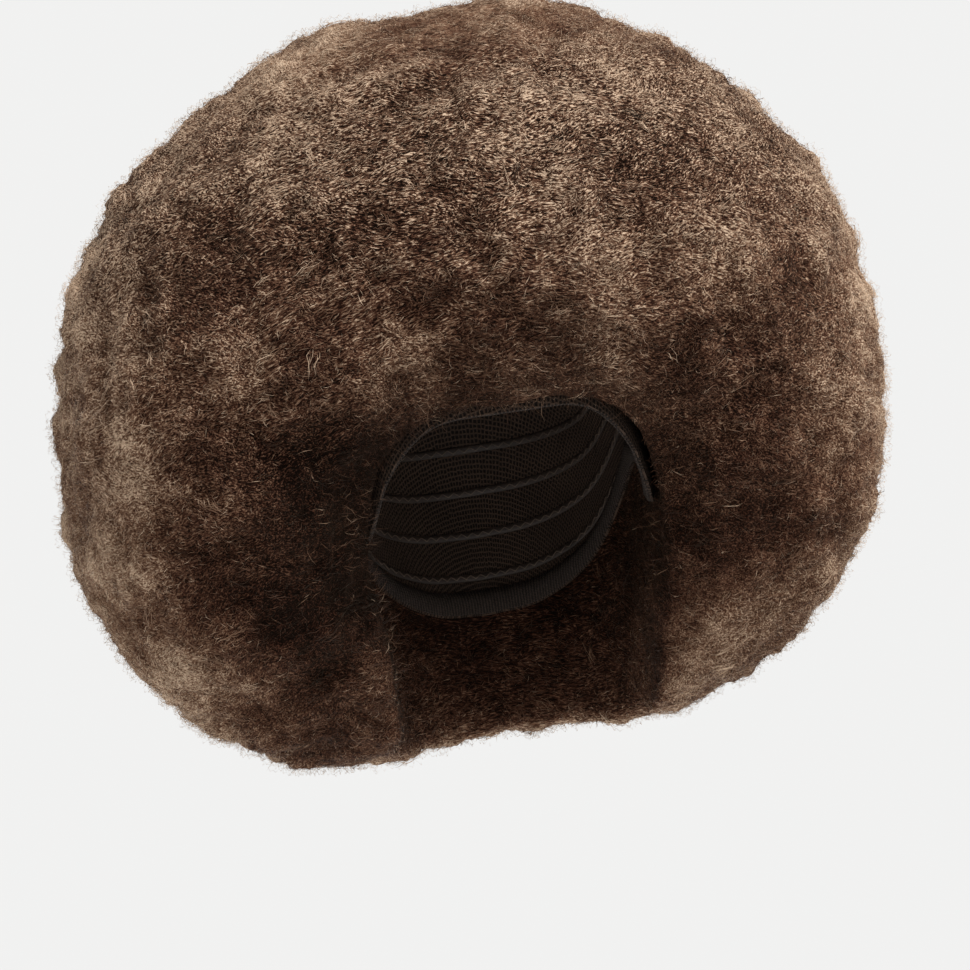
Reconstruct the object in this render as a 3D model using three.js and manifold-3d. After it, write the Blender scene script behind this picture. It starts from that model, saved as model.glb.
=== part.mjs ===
// A large round afro wig: a stretch cap that fits an adult head, an elastic edge band inside its rim,
// and a deep mass of frizzed hair whose rounded locks are fused to the backing round the cap.
// Millimetres, +Z up, the face looks along -Y, the wearer's left is +X.
// The origin is the top of the head, just under the inside of the cap.
import * as THREE from "three";
import { mergeVertices } from "three/addons/utils/BufferGeometryUtils.js";
import Module from "manifold-3d";

// Driving dimensions: the hair's outline
const hairWidth = 446;
const hairRise = 167;
const hairDrop = 237;
const hairFront = 163;
const hairBack = 225;
const widestDrop = 45;
const lowerFullness = 2.5;
const sideLean = 0.04;

// Driving dimensions: the hair's edge and its locks
const edgeDepth = 6;
const lipFullness = 1.7;
const lockCount = 280;
const lockReach = 44;
const lockHeight = 11;
const lockUnevenness = 6;

// Driving dimensions: the head that the wig fits
const headHalfWidth = 78;
const headFront = 98;
const headBack = 98;
const headHeight = 232;
const browSquareness = 2.4;
const neckBelowHair = 30;
const centreShare = 0.37;

// Driving dimensions: the cap and its band
const capWall = 1.5;
const bandWall = 1.2;
const bandWidth = 12;
const clearance = 0.3;

// Numbers of facets
const hairRows = 34;
const capAround = 56;
const capRows = 8;
const neckRows = 7;
const fans = 6;

// How near to the true value the distances in millimetres and the angles in radians are found
const reachError = 1e-4;
const polarError = 1e-5;

// The head's level sections down to the chin, as shares of headHeight, headHalfWidth, headFront and headBack.
// The neck keeps the last one.
const headSections = [
  { drop: 0.0, width: 0.0, front: 0.0, back: 0.0 },
  { drop: 0.014, width: 0.27, front: 0.27, back: 0.3 },
  { drop: 0.045, width: 0.5, front: 0.5, back: 0.53 },
  { drop: 0.123, width: 0.78, front: 0.78, back: 0.81 },
  { drop: 0.224, width: 0.93, front: 0.92, back: 0.96 },
  { drop: 0.336, width: 0.99, front: 0.99, back: 1.0 },
  { drop: 0.448, width: 1.0, front: 1.0, back: 0.98 },
  { drop: 0.56, width: 0.97, front: 1.0, back: 0.91 },
  { drop: 0.672, width: 0.91, front: 0.98, back: 0.81 },
  { drop: 0.807, width: 0.88, front: 0.94, back: 0.72 },
  { drop: 1.0, width: 0.85, front: 0.88, back: 0.65 },
];

// The cap's rim on one side, from the forehead round to the nape: the turn from straight ahead in degrees,
// and how far down the head the rim lies there, as a share of headHeight.
const capRim = [
  { turn: 0, drop: 0.249 },
  { turn: 25, drop: 0.26 },
  { turn: 42, drop: 0.35 },
  { turn: 56, drop: 0.465 },
  { turn: 70, drop: 0.48 },
  { turn: 84, drop: 0.405 },
  { turn: 98, drop: 0.395 },
  { turn: 114, drop: 0.47 },
  { turn: 135, drop: 0.605 },
  { turn: 158, drop: 0.68 },
  { turn: 180, drop: 0.695 },
];

// The hair's inner edge beside the face, from the forehead to the jaw: the turn and drop as in capRim, and
// the angle in degrees over which the hair swells to its full depth.
const faceEdge = [
  { turn: 0, drop: 0.242, lip: 30 },
  { turn: 22, drop: 0.252, lip: 30 },
  { turn: 38, drop: 0.325, lip: 31 },
  { turn: 48, drop: 0.47, lip: 33 },
  { turn: 54, drop: 0.62, lip: 32 },
  { turn: 63, drop: 0.77, lip: 27 },
];

// The hair's lower edge from the jaw round the neck, with its drop as a share of hairDrop.
const neckEdge = [
  { turn: 78, drop: 0.89, lip: 20 },
  { turn: 105, drop: 0.92, lip: 16 },
  { turn: 145, drop: 0.925, lip: 14 },
  { turn: 180, drop: 0.925, lip: 14 },
];

// Finishes
const hairColour = 0x503e33;
const capColour = 0x2b221d;
const bandColour = 0x1d1917;

const wasm = await Module();
wasm.setup();

const degrees = THREE.MathUtils.degToRad;

// Every surface is measured outwards from one centre in the middle of the head.
const centreDrop = headHeight * centreShare;
const centre = new THREE.Vector3(0, 0, -centreDrop);

// A table's column at a value of its key column, on a smooth curve through the rows.
function read(rows, key, value, column) {
  const last = rows.length - 1;
  let row = 0;
  while (row < last - 1 && value > rows[row + 1][key]) row += 1;
  const slope = (i) => {
    const before = rows[Math.max(i - 1, 0)];
    const after = rows[Math.min(i + 1, last)];
    return (after[column] - before[column]) / (after[key] - before[key]);
  };
  const span = rows[row + 1][key] - rows[row][key];
  const t = THREE.MathUtils.clamp((value - rows[row][key]) / span, 0, 1);
  const rise = rows[row + 1][column] - rows[row][column];
  const bend = (slope(row) * span - rise) * (1 - t) - (slope(row + 1) * span - rise) * t;
  return rows[row][column] + rise * t + bend * t * (1 - t);
}

// The head's half width, front and back reach at a drop below its top.
function headSection(drop) {
  const share = THREE.MathUtils.clamp(drop / headHeight, 0, 1);
  return {
    width: headHalfWidth * read(headSections, "drop", share, "width"),
    front: headFront * read(headSections, "drop", share, "front"),
    back: headBack * read(headSections, "drop", share, "back"),
  };
}

function insideHead(point) {
  const drop = -point.z;
  if (drop <= 0 || drop >= hairDrop + neckBelowHair) return false;
  const { width, front, back } = headSection(drop);
  const depth = point.y < 0 ? front : back;
  const power = point.y < 0 ? browSquareness : 2;
  return (Math.abs(point.x) / width) ** power + (Math.abs(point.y) / depth) ** power < 1;
}

// The hair's outer form before its locks: an ellipsoid above its widest level, fuller below it. The whole form
// leans a little to one side with its height.
function insideOutline(point) {
  const middle = (hairBack - hairFront) / 2;
  const halfDepth = (hairBack + hairFront) / 2;
  const height = point.z + widestDrop;
  const across = point.x - sideLean * height;
  const flat = Math.hypot(across / (hairWidth / 2), (point.y - middle) / halfDepth);
  if (height >= 0) return Math.hypot(flat, height / (hairRise + widestDrop)) < 1;
  const low = -height / (hairDrop - widestDrop);
  return flat ** lowerFullness + low ** lowerFullness < 1;
}

// How far a form reaches from the centre in a direction, found by halving.
function reach(inside, direction) {
  let near = 0;
  let far = hairWidth;
  while (far - near > reachError) {
    const middle = (near + far) / 2;
    const point = direction.clone().multiplyScalar(middle).add(centre);
    if (inside(point)) near = middle;
    else far = middle;
  }
  return near;
}

// A direction from a turn about +Z, 0 straight ahead, and a polar angle down from +Z.
function upright(turn, polar) {
  const level = Math.sin(polar);
  return new THREE.Vector3(level * Math.sin(turn), -level * Math.cos(turn), Math.cos(polar));
}

// The polar angle from the centre at which the head's surface lies at a drop.
function polarOfDrop(turn, drop) {
  let high = 0;
  let low = Math.PI;
  while (low - high > polarError) {
    const middle = (high + low) / 2;
    const direction = upright(turn, middle);
    const depth = centreDrop - direction.z * reach(insideHead, direction);
    if (depth < drop) high = middle;
    else low = middle;
  }
  return high;
}

// Closed meshes
// A solid between rings of points: each ring joins the next, and the first and last close on a point each,
// or on each other where the solid is itself a ring.
function solidOfRings(rings, around, first, last) {
  const vertices = [];
  const faces = [];
  const add = (point) => vertices.push(point.x, point.y, point.z);
  rings.forEach((ring) => ring.forEach(add));
  const at = (row, column) => row * around + (column % around);
  const steps = first ? rings.length - 1 : rings.length;
  for (let row = 0; row < steps; row += 1) {
    const below = (row + 1) % rings.length;
    for (let column = 0; column < around; column += 1) {
      const a = at(row, column);
      const b = at(row, column + 1);
      const c = at(below, column + 1);
      const d = at(below, column);
      if ((row + column) % 2) faces.push(a, d, b, b, d, c);
      else faces.push(a, d, c, a, c, b);
    }
  }
  if (first) {
    const top = vertices.length / 3;
    add(first);
    add(last);
    for (let column = 0; column < around; column += 1) {
      faces.push(top, at(0, column), at(0, column + 1));
      faces.push(top + 1, at(rings.length - 1, column + 1), at(rings.length - 1, column));
    }
  }
  const geometry = new THREE.BufferGeometry();
  geometry.setAttribute("position", new THREE.Float32BufferAttribute(vertices, 3));
  geometry.setIndex(faces);
  return geometry;
}

function manifoldOf(geometry) {
  const merged = mergeVertices(geometry, reachError);
  return new wasm.Manifold(
    new wasm.Mesh({
      numProp: 3,
      vertProperties: merged.attributes.position.array,
      triVerts: new Uint32Array(merged.index.array),
    }),
  );
}

function geometryOf(solid) {
  const mesh = solid.getMesh();
  const geometry = new THREE.BufferGeometry();
  geometry.setAttribute("position", new THREE.BufferAttribute(mesh.vertProperties, 3));
  geometry.setIndex(new THREE.BufferAttribute(mesh.triVerts, 1));
  return geometry;
}

// One ring of points at a distance outside the head, for a polar angle at each turn.
function headRing(polarAt, outside) {
  return capTurns.map((turn, column) => {
    const direction = upright(turn, polarAt(column));
    return direction.multiplyScalar(reach(insideHead, direction) + outside).add(centre);
  });
}

// The cap's own angles: a turn for each column, and its rim and the band's upper edge there.
const capTurns = Array.from({ length: capAround }, (_, i) => (2 * Math.PI * i) / capAround);
const rimPolar = capTurns.map((turn) => {
  const side = THREE.MathUtils.radToDeg(Math.min(turn, 2 * Math.PI - turn));
  return polarOfDrop(turn, headHeight * read(capRim, "turn", side, "drop"));
});
const bandPolar = capTurns.map((turn, i) => {
  const direction = upright(turn, rimPolar[i]);
  return rimPolar[i] - bandWidth / reach(insideHead, direction);
});

// Rows of the cap from near its top down to the band's upper edge, and then its rim.
const capLevels = Array.from({ length: capRows }, (_, i) => (i + 1) / capRows);
const capPolars = [
  ...capLevels.map((share) => (column) => bandPolar[column] * share),
  (column) => rimPolar[column],
];
const bandOutside = clearance + bandWall;
const capInside = bandOutside + clearance;
const capOutside = capInside + capWall;
const hollowOutside = capOutside + clearance;

// The band's section is a thin rectangle, carried round inside the cap's rim.
function edgeBand() {
  const upper = (column) => bandPolar[column];
  const lower = (column) => rimPolar[column];
  const rings = [
    headRing(upper, bandOutside),
    headRing(lower, bandOutside),
    headRing(lower, clearance),
    headRing(upper, clearance),
  ];
  return solidOfRings(rings, capAround, null, null);
}

function capShell() {
  const outer = capPolars.map((polar) => headRing(polar, capOutside));
  const inner = capPolars.map((polar) => headRing(polar, capInside)).reverse();
  const up = new THREE.Vector3(0, 0, 1);
  const top = reach(insideHead, up);
  const outerTop = up.clone().multiplyScalar(top + capOutside).add(centre);
  const innerTop = up.clone().multiplyScalar(top + capInside).add(centre);
  return solidOfRings([...outer, ...inner], capAround, outerTop, innerTop);
}

// The space that the hair leaves for the cap, the face and the neck. It has the cap's own rows above the rim.
function hollow() {
  const lower = Array.from({ length: neckRows }, (_, i) => (column) => {
    const share = (i + 1) / (neckRows + 1);
    return THREE.MathUtils.lerp(rimPolar[column], Math.PI, share);
  });
  const rings = [...capPolars, ...lower].map((polar) => headRing(polar, hollowOutside));
  const up = new THREE.Vector3(0, 0, 1);
  const down = new THREE.Vector3(0, 0, -1);
  const top = up.multiplyScalar(reach(insideHead, up) + hollowOutside).add(centre);
  const bottom = down.multiplyScalar(reach(insideHead, down) + hollowOutside).add(centre);
  return solidOfRings(rings, capAround, top, bottom);
}

// The hair's own angles run from a pole at the back of the crown, opposite the middle of the face and neck
// opening, and its rows end at the hair's edge.
const poleRise = degrees(49);
const pole = new THREE.Vector3(0, Math.cos(poleRise), Math.sin(poleRise));
const side = new THREE.Vector3(1, 0, 0);
const ahead = new THREE.Vector3().crossVectors(side, pole);

function fromPole(turn, polar) {
  const level = Math.sin(polar);
  return new THREE.Vector3()
    .addScaledVector(ahead, level * Math.cos(turn))
    .addScaledVector(side, level * Math.sin(turn))
    .addScaledVector(pole, Math.cos(polar));
}

// The hair's edge as angles from the pole, for one side of the head.
function edgeRow({ turn, drop, lip }, length) {
  const polar = polarOfDrop(degrees(turn), drop * length);
  const direction = upright(degrees(turn), polar);
  const round = Math.atan2(direction.dot(side), direction.dot(ahead));
  return { round, polar: Math.acos(direction.dot(pole)), lip: degrees(lip) };
}

const edgeAngles = [
  ...faceEdge.map((row) => edgeRow(row, headHeight)),
  ...neckEdge.map((row) => edgeRow(row, hairDrop)),
];

// Lock places, spread evenly over the sphere of directions, and each one's own height.
const goldenTurn = Math.PI * (3 - Math.sqrt(5));
const scatterStep = Math.sqrt(2);
const locks = Array.from({ length: lockCount }, (_, i) => {
  const height = 1 - (2 * i + 1) / lockCount;
  const scatter = (i * i * scatterStep) % 1;
  return {
    direction: upright(i * goldenTurn, Math.acos(height)),
    extra: lockUnevenness * (scatter - 0.5),
  };
});

// How far the fused locks stand out in a direction: at each place the tallest rounded lock is the surface.
function lockRise(direction, distance) {
  let rise = 0;
  for (const { direction: place, extra } of locks) {
    const away = place.distanceTo(direction) * distance;
    if (away < lockReach) {
      const dome = 1 - (away / lockReach) ** 2;
      rise = Math.max(rise, (lockHeight + extra) * dome);
    }
  }
  return rise;
}

// The outer surface of the hair in a direction, at an angle back from the hair's edge.
function hairReach(direction, back, lip) {
  const root = reach(insideHead, direction) + hollowOutside;
  const full = reach(insideOutline, direction) - lockHeight;
  const share = THREE.MathUtils.clamp(back / lip, 0, 1);
  const swell = (1 - (1 - share) ** lipFullness) ** (1 / lipFullness);
  const depth = edgeDepth + Math.max(full - root - edgeDepth, 0) * swell;
  return root + depth + lockRise(direction, root + depth) * Math.sqrt(swell);
}

// A point of the hair's surface: row 0 is the pole and the last row is the hair's edge. Each fan has as many
// places in a row as the row's number.
function hairPoint(row, place) {
  const turn = row ? (2 * Math.PI * place) / (fans * row) : 0;
  const round = Math.min(turn, 2 * Math.PI - turn);
  const edge = read(edgeAngles, "round", round, "polar");
  const lip = read(edgeAngles, "round", round, "lip");
  const polar = (edge * row) / hairRows;
  const direction = fromPole(turn, polar);
  return direction.multiplyScalar(hairReach(direction, edge - polar, lip)).add(centre);
}

// The mass of hair: fans of even triangles from the pole to the edge, closed on the centre, less the space
// for the cap and the head.
function hairMass() {
  const points = [];
  const faces = [];
  const firstOf = (row) => 1 + (fans * row * (row - 1)) / 2;
  const at = (row, place) => (row ? firstOf(row) + (place % (fans * row)) : 0);
  for (let row = 0; row <= hairRows; row += 1) {
    const places = row ? fans * row : 1;
    for (let place = 0; place < places; place += 1) points.push(hairPoint(row, place));
  }
  for (let row = 0; row < hairRows; row += 1) {
    for (let fan = 0; fan < fans; fan += 1) {
      for (let step = 0; step <= row; step += 1) {
        const upper = fan * row + step;
        const lower = fan * (row + 1) + step;
        faces.push(at(row, upper), at(row + 1, lower), at(row + 1, lower + 1));
        if (step < row) faces.push(at(row, upper), at(row + 1, lower + 1), at(row, upper + 1));
      }
    }
  }
  const middle = points.length;
  points.push(centre);
  for (let place = 0; place < fans * hairRows; place += 1) {
    faces.push(at(hairRows, place + 1), at(hairRows, place), middle);
  }
  const geometry = new THREE.BufferGeometry().setFromPoints(points);
  geometry.setIndex(faces);
  return geometryOf(manifoldOf(geometry).subtract(manifoldOf(hollow())));
}

// The assembly
function piece(name, geometry, colour, roughness) {
  geometry.computeVertexNormals();
  const material = new THREE.MeshStandardMaterial({ color: colour, roughness, metalness: 0 });
  const mesh = new THREE.Mesh(geometry, material);
  mesh.name = name;
  return mesh;
}

const wig = new THREE.Group();
wig.name = "afro_wig";
wig.add(piece("hair", hairMass(), hairColour, 0.95));
wig.add(piece("stretch_cap", capShell(), capColour, 0.85));
wig.add(piece("edge_band", edgeBand(), bandColour, 0.7));

export default wig;
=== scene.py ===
"""A large round afro wig, dressed for rendering.

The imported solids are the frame. The mass of hair gets tufts, waves and small curls. Five layers of fibres
lie on it: two of short frizz, one of curls, and the fine fuzz and haze that stand proud of them, with wisps
round the face opening. The net cap has its sewn rows, and the elastic band its stitches.
"""

import math

import bpy
import numpy as np
from bpy.props import FloatProperty, FloatVectorProperty, IntProperty, PointerProperty
from bpy.types import Operator, Panel, PropertyGroup
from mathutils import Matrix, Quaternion, Vector
from mathutils.bvhtree import BVHTree
from mathutils.kdtree import KDTree


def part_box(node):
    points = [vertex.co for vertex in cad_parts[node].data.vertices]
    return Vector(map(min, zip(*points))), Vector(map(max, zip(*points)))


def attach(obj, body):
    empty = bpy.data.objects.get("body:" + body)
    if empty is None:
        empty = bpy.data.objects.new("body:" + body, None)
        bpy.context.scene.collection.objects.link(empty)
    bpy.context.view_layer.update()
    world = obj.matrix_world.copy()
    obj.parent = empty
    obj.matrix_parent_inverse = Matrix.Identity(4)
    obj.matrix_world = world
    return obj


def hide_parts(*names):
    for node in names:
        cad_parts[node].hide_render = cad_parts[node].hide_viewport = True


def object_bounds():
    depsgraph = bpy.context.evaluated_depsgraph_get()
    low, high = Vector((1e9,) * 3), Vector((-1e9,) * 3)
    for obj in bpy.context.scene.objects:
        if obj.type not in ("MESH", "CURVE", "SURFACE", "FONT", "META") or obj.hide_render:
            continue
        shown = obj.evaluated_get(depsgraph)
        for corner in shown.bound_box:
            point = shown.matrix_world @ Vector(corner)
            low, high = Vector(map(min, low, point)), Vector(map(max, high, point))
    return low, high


bl_info = {
    "name": "Afro Wig",
    "version": (1, 0, 0),
    "blender": (4, 5, 0),
    "location": "3D View > Sidebar > Wig",
    "description": "Dresses a large round wig: frizzed hair, net cap and elastic edge band",
    "category": "Object",
}

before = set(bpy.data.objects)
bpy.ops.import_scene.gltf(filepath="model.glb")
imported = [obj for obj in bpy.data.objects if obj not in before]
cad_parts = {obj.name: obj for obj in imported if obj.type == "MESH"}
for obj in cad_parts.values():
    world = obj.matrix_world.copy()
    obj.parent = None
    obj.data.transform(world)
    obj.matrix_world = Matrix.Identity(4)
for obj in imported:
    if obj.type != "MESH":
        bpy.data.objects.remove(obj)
CAD_LOW, CAD_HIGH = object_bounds()
CAP_LOW, CAP_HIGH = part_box("stretch_cap")
BODY = "root"
MM = 0.001
UP = np.array([0.0, 0.0, 1.0])

# The way in which the main light travels: down, back and to the left
KEY_DIRECTION = Vector((-0.62, 0.62, -1.0))

# The middle of the head, from which the cap is measured
HEAD_MIDDLE = Vector((0.0, 0.0, CAP_LOW.z + 0.46 * (CAP_HIGH.z - CAP_LOW.z)))


# Settings


def length(name, description, default):
    """A property that holds a length in metres."""
    return FloatProperty(name=name, description=description, default=default, min=0.0, unit="LENGTH")


def colour(name, description, default):
    """A property that holds a linear colour."""
    return FloatVectorProperty(
        name=name, description=description, default=default, size=3, min=0.0, max=1.0, subtype="COLOR"
    )


class WigMassSettings(PropertyGroup):
    mesh_size: length("Mesh size", "Side of the faces of the hair's mass", 3.2 * MM)
    rise: length("Rise", "How far the mass is swollen before its creases are pressed in", 2.2 * MM)
    tuft_size: length("Tuft size", "Width of the rounded tufts", 26 * MM)
    tuft_depth: length("Tuft depth", "Depth of the creases between tufts", 6 * MM)
    wave_size: length("Wave size", "Width of the waves over several tufts", 60 * MM)
    wave_depth: length("Wave depth", "Height of those waves", 9 * MM)
    clump_size: length("Clump size", "Width of the uneven clumps between tufts and waves", 22 * MM)
    clump_depth: length("Clump depth", "Height of those clumps", 8 * MM)
    curl_size: length("Curl size", "Width of the small curls on the tufts", 7 * MM)
    curl_depth: length("Curl depth", "Height of the small curls", 4.5 * MM)
    patch_size: length("Patch size", "Width of a patch whose strands run one way", 15 * MM)
    strand_size: length("Strand size", "Width of the finest strands", 0.8 * MM)


class WigFibreSettings(PropertyGroup):
    under_count: IntProperty(name="Lower frizz", description="Short fibres below", default=25500, min=1)
    over_count: IntProperty(name="Upper frizz", description="Short fibres above them", default=31500, min=1)
    frizz_length: length("Frizz length", "Length of the short fibres", 4.8 * MM)
    curl_count: IntProperty(name="Curls", description="Longer curved fibres", default=10000, min=1)
    curl_length: length("Curl length", "Length of the curved fibres", 11 * MM)
    haze_count: IntProperty(name="Haze", description="The finest, palest loops", default=33000, min=1)
    haze_lift: length("Haze lift", "How far the finest loops stand off the mass", 5.5 * MM)
    fuzz_count: IntProperty(name="Fuzz", description="Fine fibres that stand proud", default=15000, min=1)
    fuzz_length: length("Fuzz length", "Length of the fine fibres", 6 * MM)
    wisp_count: IntProperty(name="Wisps", description="Fibres at the hairline", default=2800, min=1)
    wisp_length: length("Wisp length", "Length of the fibres at the hairline", 12 * MM)
    thickness: length("Thickness", "Thickness of a short fibre", 0.42 * MM)
    # Stops of the hair's colour ramp: the darker stops also take the painted shade, and the glint colour is a
    # painted highlight.
    deep_colour: colour("Deep colour", "The darkest hair", (0.0055, 0.0026, 0.0015))
    dark_colour: colour("Dark colour", "Hair in shade", (0.0260, 0.0098, 0.0057))
    middle_colour: colour("Middle colour", "Most of the hair", (0.094, 0.0400, 0.0235))
    light_colour: colour("Light colour", "Hair on the crown", (0.262, 0.152, 0.093))
    glint_colour: colour("Glint colour", "The lightest hair", (0.76, 0.56, 0.395))


class WigCapSettings(PropertyGroup):
    row_count: IntProperty(name="Rows", description="Sewn rows inside the cap", default=9, min=1)
    row_width: length("Row width", "Width of a sewn row", 4.4 * MM)
    row_height: length("Row height", "How far a row's tape stands out", 0.5 * MM)
    net_size: length("Net size", "Width of the net's holes", 2.3 * MM)
    stitch_pitch: length("Stitch pitch", "Length of one zigzag stitch on the band", 3.4 * MM)
    stitch_thickness: length("Stitch thickness", "Thickness of the thread", 0.7 * MM)
    net_colour: colour("Net colour", "Threads of the net", (0.050, 0.031, 0.021))
    hole_colour: colour("Hole colour", "Hair seen through the net", (0.008, 0.0045, 0.003))
    band_colour: colour("Band colour", "Elastic band", (0.026, 0.018, 0.014))
    tape_colour: colour("Tape colour", "Tapes of the sewn rows", (0.034, 0.022, 0.016))
    thread_colour: colour("Thread colour", "Stitches", (0.110, 0.074, 0.052))


class WigStageSettings(PropertyGroup):
    distance: length("Distance", "From the camera to the wig", 1.7)
    aim_height: FloatProperty(
        name="Aim height", description="Height in the middle of the picture", default=-0.0918, unit="LENGTH"
    )
    aim_side: FloatProperty(
        name="Aim side", description="How far to the right the camera aims", default=-0.0035, unit="LENGTH"
    )
    azimuth: FloatProperty(
        name="Azimuth", description="The camera's turn to the side", default=math.radians(-9), subtype="ANGLE"
    )
    elevation: FloatProperty(
        name="Elevation", description="Height angle of the camera", default=0.0, subtype="ANGLE"
    )
    roll: FloatProperty(
        name="Roll", description="The wig's lean in the picture", default=math.radians(8.5), subtype="ANGLE"
    )
    lens: FloatProperty(name="Lens", description="Focal length in millimetres", default=119.0, min=1.0)
    floor_depth: length("Floor depth", "How far the floor lies under the wig's lowest point", 2.6)
    floor_radius: length("Floor radius", "From the middle of the floor to its edge", 60.0)
    floor_colour: colour("Floor colour", "The floor", (0.74, 0.74, 0.735))
    key_strength: FloatProperty(name="Key", description="Strength of the main light", default=3.3, min=0.0)
    room_strength: FloatProperty(name="Room", description="Strength of even light", default=0.40, min=0.0)


# Shared helpers


def choose_only(piece):
    """Selects one object and makes it active."""
    bpy.ops.object.select_all(action="DESELECT")
    piece.select_set(True)
    bpy.context.view_layer.objects.active = piece


def edit_whole(piece, operation, **values):
    """Runs a mesh operator on the whole of one object."""
    choose_only(piece)
    bpy.ops.object.mode_set(mode="EDIT")
    bpy.ops.mesh.select_all(action="SELECT")
    operation(**values)
    bpy.ops.object.mode_set(mode="OBJECT")


def copy_of_node(node, name):
    """A new object with its own copy of a frame node's mesh, whose loose triangles are joined up."""
    piece = bpy.data.objects.new(name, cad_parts[node].data.copy())
    piece.data.name = name
    piece.data.materials.clear()
    bpy.context.scene.collection.objects.link(piece)
    choose_only(piece)
    bpy.ops.mesh.customdata_custom_splitnormals_clear()
    edit_whole(piece, bpy.ops.mesh.remove_doubles, threshold=0.01 * MM)
    return piece


def apply_modifier(piece, kind, **values):
    """Adds a modifier with its values and applies it."""
    choose_only(piece)
    modifier = piece.modifiers.new(kind.lower(), kind)
    for key, value in values.items():
        setattr(modifier, key, value)
    bpy.ops.object.modifier_apply(modifier=modifier.name)


def column(items, key, width=3):
    """One value of every item of a mesh as an array, a row for each item."""
    values = np.empty(len(items) * width, np.float32)
    items.foreach_get(key, values)
    return values.reshape(-1, width).astype(float)


def write_attribute(mesh, name, values):
    """Keeps one number for each vertex under a name."""
    attribute = mesh.attributes.get(name) or mesh.attributes.new(name, "FLOAT", "POINT")
    attribute.data.foreach_set("value", np.asarray(values, np.float32))


def read_attribute(mesh, name):
    values = np.empty(len(mesh.vertices), np.float32)
    mesh.attributes[name].data.foreach_get("value", values)
    return values.astype(float)


def write_group(piece, name, weights):
    """A vertex group with a weight for each vertex, in even levels of weight."""
    levels = 50
    group = piece.vertex_groups.new(name=name)
    steps = np.round(np.clip(weights, 0, 1) * levels).astype(int)
    for step in np.unique(steps):
        group.add(np.flatnonzero(steps == step).tolist(), step / levels, "REPLACE")


def smooth_step(low, high, values):
    share = np.clip((values - low) / (high - low), 0, 1)
    return share * share * (3 - 2 * share)


def unit(vectors):
    return vectors / np.maximum(np.linalg.norm(vectors, axis=-1, keepdims=True), 1e-9)


def cross_directions(directions):
    """Two directions for each one, square to it and to each other."""
    helper = np.where(np.abs(directions[:, 2:3]) < 0.8, UP, np.array([1.0, 0.0, 0.0]))
    side = unit(np.cross(directions, helper))
    return side, np.cross(directions, side)


def tree_of_node(node):
    """A search tree of a frame node's faces."""
    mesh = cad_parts[node].data
    return BVHTree.FromPolygons([v.co for v in mesh.vertices], [p.vertices for p in mesh.polygons])


def distances_to(tree, points):
    return np.array([tree.find_nearest(point)[3] for point in points.tolist()])


def new_mesh_piece(name, points, faces, material):
    """An object from arrays of points and of faces, with smooth shading."""
    mesh = bpy.data.meshes.new(name)
    mesh.from_pydata(points, [], faces)
    mesh.shade_smooth()
    mesh.materials.append(material)
    piece = bpy.data.objects.new(name, mesh)
    bpy.context.scene.collection.objects.link(piece)
    return piece


def finish_piece(piece, slot, *replaced):
    """Every piece rides on the one body, and the frame nodes that it stands for are hidden."""
    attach(piece, BODY)
    if replaced:
        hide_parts(*replaced)


# Materials


class Nodes:
    """Adds nodes to a material and links them in one call."""

    def __init__(self, name):
        self.material = bpy.data.materials.new(name)
        self.material.use_nodes = True
        self.tree = self.material.node_tree
        self.surface = self.tree.nodes["Principled BSDF"]

    def add(self, kind, values=None, **inputs):
        """A node of a kind, with its own values set and its inputs set or linked."""
        node = self.tree.nodes.new(kind)
        for key, value in (values or {}).items():
            setattr(node, key, value)
        for key, value in inputs.items():
            self.feed(node, key.replace("_", " "), value)
        return node

    def feed(self, node, key, value):
        socket = node.inputs[int(key)] if key.isdigit() else node.inputs[key]
        if isinstance(value, bpy.types.NodeSocket):
            self.tree.links.new(value, socket)
        else:
            socket.default_value = value

    def object_place(self):
        return self.add("ShaderNodeTexCoord").outputs["Object"]

    def attribute(self, name):
        return self.add("ShaderNodeAttribute", {"attribute_name": name}).outputs["Fac"]

    def vector(self, operation, first, second=(0.0, 0.0, 0.0)):
        """A vector sum, product or the like, as a vector, or as a number for a dot product."""
        node = self.add("ShaderNodeVectorMath", {"operation": operation})
        self.feed(node, "0", first)
        self.feed(node, "1", second)
        return node.outputs["Value" if operation == "DOT_PRODUCT" else "Vector"]

    def combine(self, x, y, z):
        return self.add("ShaderNodeCombineXYZ", X=x, Y=y, Z=z).outputs[0]

    def noise(self, place, size, detail=3.0, rough=0.5):
        """Noise whose features are about one size wide, in metres."""
        node = self.add("ShaderNodeTexNoise", Vector=place, Scale=1 / size, Detail=detail, Roughness=rough)
        return node.outputs["Fac"]

    def math(self, operation, first, second=0.0):
        node = self.add("ShaderNodeMath", {"operation": operation})
        self.feed(node, "0", first)
        self.feed(node, "1", second)
        return node.outputs[0]

    def ramp(self, value, stops):
        """A colour ramp through (position, colour) stops."""
        node = self.add("ShaderNodeValToRGB", Fac=value)
        points = node.color_ramp.elements
        while len(points) < len(stops):
            points.new(0.5)
        for point, (position, shade) in zip(points, stops):
            point.position = position
            point.color = (*shade, 1)
        return node.outputs["Color"]

    def spread(self, value, low, high, first=0.0, last=1.0):
        """A value's range, taken to another range and held there."""
        node = self.add("ShaderNodeMapRange")
        keys = ("Value", "From Min", "From Max", "To Min", "To Max")
        for key, number in zip(keys, (value, low, high, first, last)):
            self.feed(node, key, number)
        return node.outputs["Result"]

    def bump(self, height, depth, strength=1.0):
        node = self.add("ShaderNodeBump", Height=height, Distance=depth, Strength=strength)
        return node.outputs["Normal"]

    def finish(self, **inputs):
        for key, value in inputs.items():
            self.feed(self.surface, key.replace("_", " "), value)
        return self.material


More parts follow.
